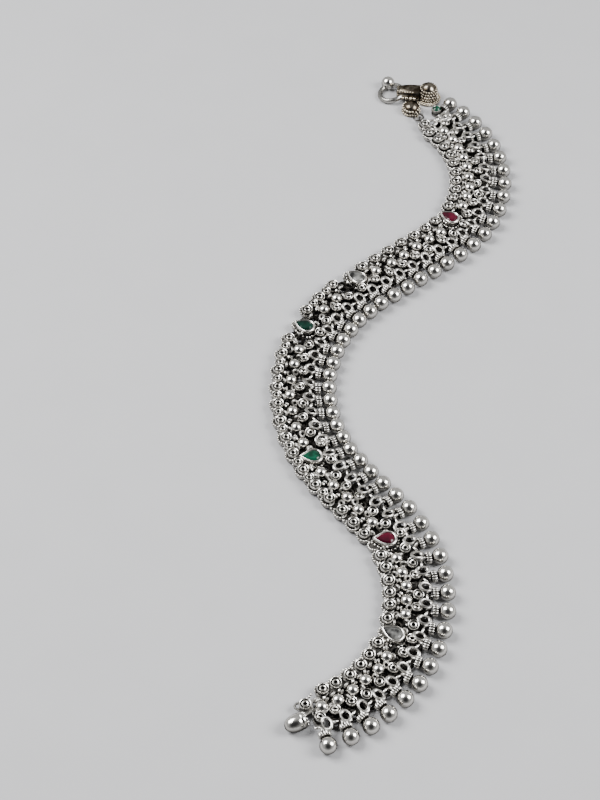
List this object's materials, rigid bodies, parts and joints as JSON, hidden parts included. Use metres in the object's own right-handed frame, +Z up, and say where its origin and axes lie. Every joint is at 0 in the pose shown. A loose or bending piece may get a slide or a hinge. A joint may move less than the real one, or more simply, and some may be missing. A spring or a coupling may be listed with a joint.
{
  "type": "anklet",
  "caption": "Open anklet of oxidised silver: a curved band of studs, beads and links with a fringe of bells, pear-shaped coloured stones, a ring clasp and a barrel end.",
  "frame": {"origin": "middle of the anklet's footprint, on the surface that it lies on", "axes": "+Y along the anklet's length towards the clasp, +X across it, +Z up from the surface"},
  "size_m": [0.0702, 0.2374, 0.006],
  "materials": {
    "polished_silver": "polished silver with grey tarnish",
    "oxidised_silver": "oxidised silver, bright on the raised edges and black in the grooves",
    "red_stone": "polished dark red cut stone",
    "green_stone": "polished deep green cut stone",
    "clear_stone": "polished colourless cut stone over silver"
  },
  "bodies": {
    "root": {"stud_row": "oxidised_silver", "bead_row": "polished_silver", "link_band": "oxidised_silver", "bell_fringe": "polished_silver", "setting_red_upper": "red_stone", "setting_clear_upper": "clear_stone", "setting_green_upper": "green_stone", "setting_green_lower": "green_stone", "setting_red_lower": "red_stone", "setting_clear_lower": "clear_stone", "end_setting": "green_stone", "end_ring": "polished_silver", "clasp_dome": "oxidised_silver", "cup_bead": "oxidised_silver", "jump_ring": "polished_silver", "barrel": "polished_silver", "end_plate": "oxidised_silver"}
  },
  "joints": []
}
